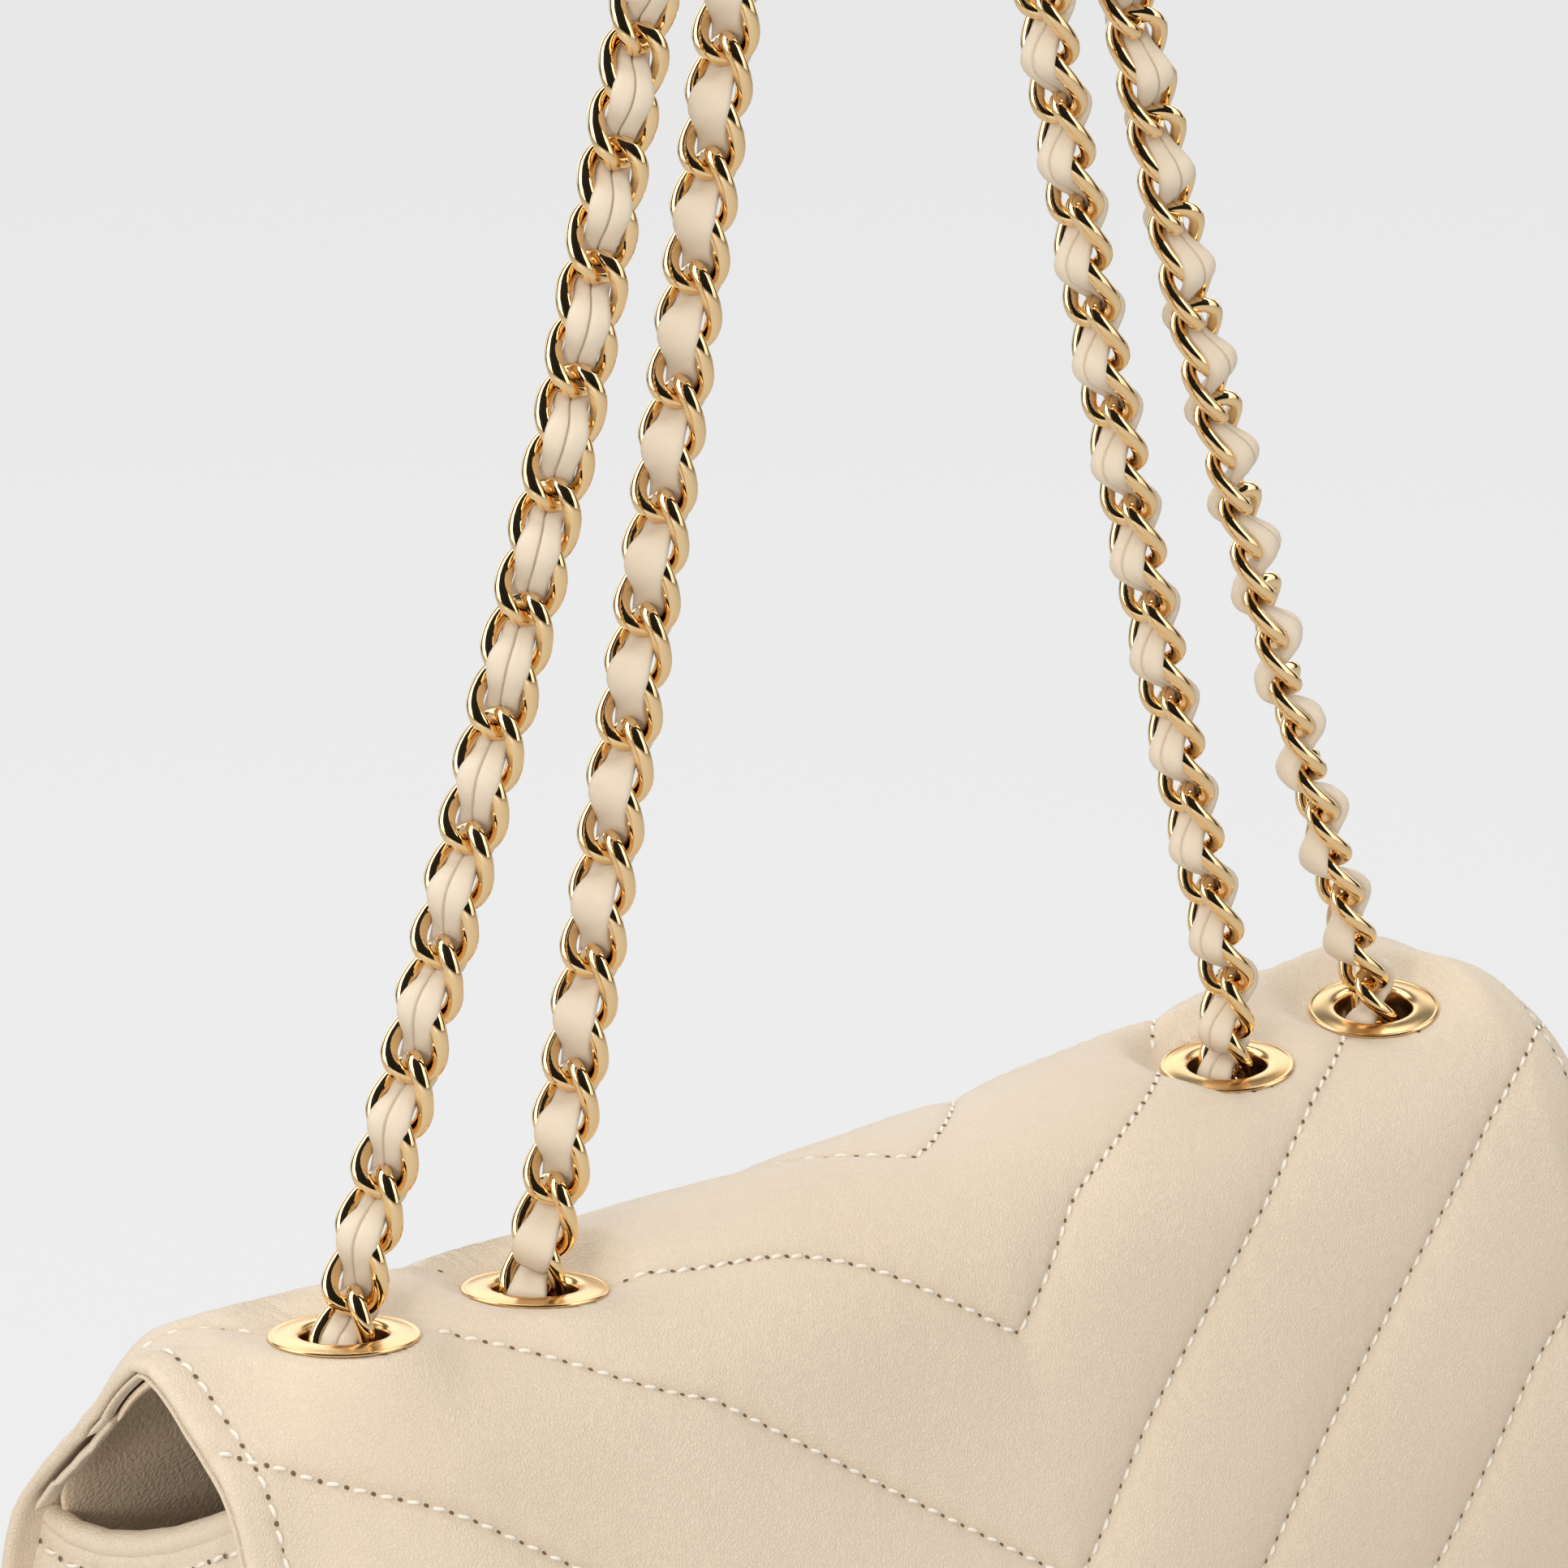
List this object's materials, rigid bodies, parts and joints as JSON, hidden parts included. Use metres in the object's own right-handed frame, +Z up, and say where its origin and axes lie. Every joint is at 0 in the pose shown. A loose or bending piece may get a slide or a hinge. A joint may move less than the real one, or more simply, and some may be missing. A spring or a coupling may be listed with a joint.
{
  "type": "chain shoulder bag",
  "caption": "Soft quilted flap bag hung from a doubled chain strap laced with leather through eyelets in its crown, with a hidden snap and an inner zip pocket.",
  "frame": {"origin": "where a hook or hand carries the taut strap, midway between its two loops, over the middle of the bag's length and depth", "axes": "X along the bag, -Y towards the flap and front, +Z up"},
  "size_m": [0.27, 0.0874, 0.4629],
  "materials": {
    "quilted_leather": "soft semi-matte, chevron quilted",
    "panel_leather": "soft semi-matte, fine grain",
    "ribbon_leather": "smooth semi-matte",
    "lining_leather": "matte, fine grain",
    "chain_gold": "polished pale gold plate",
    "eyelet_gold": "polished pale gold plate",
    "snap_metal": "satin pale gold plate",
    "zip_metal": "polished pale gold plate",
    "zip_tape": "woven",
    "base_board": "fibre board"
  },
  "bodies": {
    "strap": {"chain_outer_left": "chain_gold", "chain_outer_right": "chain_gold", "chain_inner_left": "chain_gold", "chain_inner_right": "chain_gold", "ribbon_outer": "ribbon_leather", "ribbon_inner": "ribbon_leather"},
    "bag": {"back_panel": "quilted_leather", "back_lining": "lining_leather", "eyelet_strip": "lining_leather", "front_panel": "panel_leather", "front_lining": "lining_leather", "left_gusset": "panel_leather", "right_gusset": "panel_leather", "left_gusset_lining": "lining_leather", "right_gusset_lining": "lining_leather", "base_panel": "panel_leather", "base_board": "base_board", "base_lining": "lining_leather", "left_rim_roll": "panel_leather", "right_rim_roll": "panel_leather", "front_rim_roll": "panel_leather", "eyelet_outer_left": "eyelet_gold", "eyelet_inner_left": "eyelet_gold", "eyelet_inner_right": "eyelet_gold", "eyelet_outer_right": "eyelet_gold", "eyelet_washers": "eyelet_gold", "inside_chain_left": "chain_gold", "inside_chain_right": "chain_gold", "inside_ribbon_left": "ribbon_leather", "inside_ribbon_right": "ribbon_leather", "snap_socket": "snap_metal", "snap_socket_washer": "snap_metal", "pocket_pouch": "lining_leather", "zip_tape": "zip_tape", "zip_teeth": "zip_metal", "zip_stops": "zip_metal"},
    "flap": {"flap_outer": "quilted_leather", "flap_lining": "lining_leather", "flap_binding": "panel_leather", "snap_stud": "snap_metal", "snap_stud_washer": "snap_metal"},
    "zip_slider": {"zip_slider": "zip_metal"},
    "zip_puller": {"zip_puller": "zip_metal"}
  },
  "joints": [
    {"name": "bag_swing", "type": "hinge", "parent": "strap", "child": "bag", "pos_m": [0, -0.00354, -0.2731], "axis": [1, 0, 0], "range_deg": [-20, 80]},
    {"name": "flap_fold", "type": "hinge", "parent": "bag", "child": "flap", "pos_m": [0, -0.01611, -0.28812], "axis": [-1, 0, 0], "range_deg": [0, 130]},
    {"name": "zip_slide", "type": "slide", "parent": "bag", "child": "zip_slider", "axis": [1, 0, 0], "range_m": [0, 0.1396]},
    {"name": "zip_pull", "type": "hinge", "parent": "zip_slider", "child": "zip_puller", "pos_m": [-0.0698, 0.03471, -0.38631], "axis": [0, 0, -1], "range_deg": [0, 160]}
  ]
}
